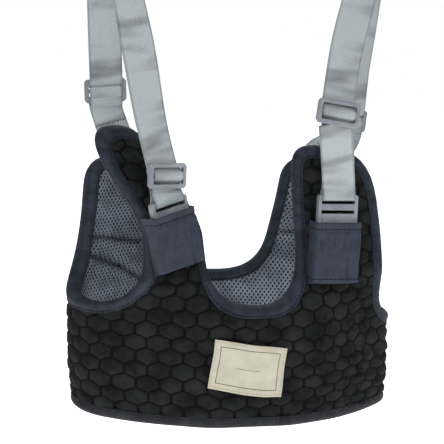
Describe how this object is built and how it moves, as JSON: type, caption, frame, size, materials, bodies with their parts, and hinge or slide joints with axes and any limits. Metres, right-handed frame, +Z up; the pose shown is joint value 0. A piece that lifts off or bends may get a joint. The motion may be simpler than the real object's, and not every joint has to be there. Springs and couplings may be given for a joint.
{
  "type": "toddler walking harness",
  "caption": "Padded vest with four shoulder lobes, side-release buckles and webbing hand loops on adjustable slides.",
  "frame": {"origin": "middle of the lower torso opening, at the height of the hem's middle", "axes": "+Z up as it hangs, the front faces -Y, +X to the right seen from the front"},
  "size_m": [0.2664, 0.1428, 0.3949],
  "materials": {
    "quilted_cloth": "black hexagon-quilted knit with a slight nap",
    "foam": "soft polyester padding",
    "air_mesh": "grey-blue perforated air mesh",
    "binding_tape": "dark slate twill tape, sewn twice",
    "cover_cloth": "dark slate plain-woven polyester",
    "label_cloth": "cream woven label",
    "webbing": "silver-grey satin herringbone webbing",
    "moulded_plastic": "grey semi-gloss acetal"
  },
  "bodies": {
    "vest": {"back_lining": "air_mesh", "back_neck_binding": "binding_tape", "back_outer_panel": "quilted_cloth", "back_padding": "foam", "front_lining": "air_mesh", "front_neck_binding": "binding_tape", "front_outer_panel": "quilted_cloth", "front_padding": "foam", "hem_binding": "binding_tape", "label": "label_cloth", "left_armhole_binding": "binding_tape", "left_buckle_cover": "cover_cloth", "left_buckle_socket": "moulded_plastic", "left_hand_strap": "webbing", "left_rear_anchor": "webbing", "left_socket_anchor": "webbing", "right_armhole_binding": "binding_tape", "right_buckle_cover": "cover_cloth", "right_buckle_socket": "moulded_plastic", "right_hand_strap": "webbing", "right_rear_anchor": "webbing", "right_socket_anchor": "webbing"},
    "left_plug": {"left_buckle_plug": "moulded_plastic", "left_strap_tail": "webbing"},
    "left_outer_latch": {"left_outer_latch_arm": "moulded_plastic"},
    "left_inner_latch": {"left_inner_latch_arm": "moulded_plastic"},
    "left_front_adjuster": {"left_front_triglide": "moulded_plastic"},
    "left_rear_adjuster": {"left_rear_triglide": "moulded_plastic"},
    "right_plug": {"right_buckle_plug": "moulded_plastic", "right_strap_tail": "webbing"},
    "right_outer_latch": {"right_outer_latch_arm": "moulded_plastic"},
    "right_inner_latch": {"right_inner_latch_arm": "moulded_plastic"},
    "right_front_adjuster": {"right_front_triglide": "moulded_plastic"},
    "right_rear_adjuster": {"right_rear_triglide": "moulded_plastic"}
  },
  "joints": [
    {"name": "left_buckle_release", "type": "slide", "parent": "vest", "child": "left_plug", "axis": [-0.1769, 0.1004, 0.9791], "range_m": [0, 0.02], "deforming": ["left_hand_strap", "left_outer_latch_arm", "left_inner_latch_arm"]},
    {"name": "left_outer_latch_squeeze", "type": "hinge", "parent": "left_plug", "child": "left_outer_latch", "pos_m": [-0.07203, -0.06196, 0.15311], "axis": [0.3323, -0.9303, 0.1554], "range_deg": [0, 8], "stiffness_Nm_per_rad": 0.05},
    {"name": "left_inner_latch_squeeze", "type": "hinge", "parent": "left_plug", "child": "left_inner_latch", "pos_m": [-0.05239, -0.05448, 0.15589], "axis": [-0.3323, 0.9303, -0.1554], "range_deg": [0, 8], "stiffness_Nm_per_rad": 0.05},
    {"name": "left_length_adjust", "type": "slide", "parent": "left_plug", "child": "left_front_adjuster", "axis": [-0.2194, 0.0366, 0.975], "range_m": [0, 0.01]},
    {"name": "left_rear_adjuster_tilt", "type": "hinge", "parent": "vest", "child": "left_rear_adjuster", "pos_m": [-0.08485, 0.04625, 0.23258], "axis": [0.9998, -0.0004, 0.02], "range_deg": [0, 12]},
    {"name": "right_buckle_release", "type": "slide", "parent": "vest", "child": "right_plug", "axis": [0.0776, 0.0981, 0.9921], "range_m": [0, 0.02], "deforming": ["right_hand_strap", "right_outer_latch_arm", "right_inner_latch_arm"]},
    {"name": "right_outer_latch_squeeze", "type": "hinge", "parent": "right_plug", "child": "right_outer_latch", "pos_m": [0.07497, -0.05353, 0.14604], "axis": [0.0261, 0.9946, -0.1004], "range_deg": [0, 8], "stiffness_Nm_per_rad": 0.05},
    {"name": "right_inner_latch_squeeze", "type": "hinge", "parent": "right_plug", "child": "right_inner_latch", "pos_m": [0.05385, -0.05281, 0.14762], "axis": [-0.0261, -0.9946, 0.1004], "range_deg": [0, 8], "stiffness_Nm_per_rad": 0.05},
    {"name": "right_length_adjust", "type": "slide", "parent": "right_plug", "child": "right_front_adjuster", "axis": [0.2182, 0.1746, 0.9602], "range_m": [0, 0.01]},
    {"name": "right_rear_adjuster_tilt", "type": "hinge", "parent": "vest", "child": "right_rear_adjuster", "pos_m": [0.1122, 0.0461, 0.19854], "axis": [0.9943, 0, -0.1065], "range_deg": [0, 12]}
  ]
}
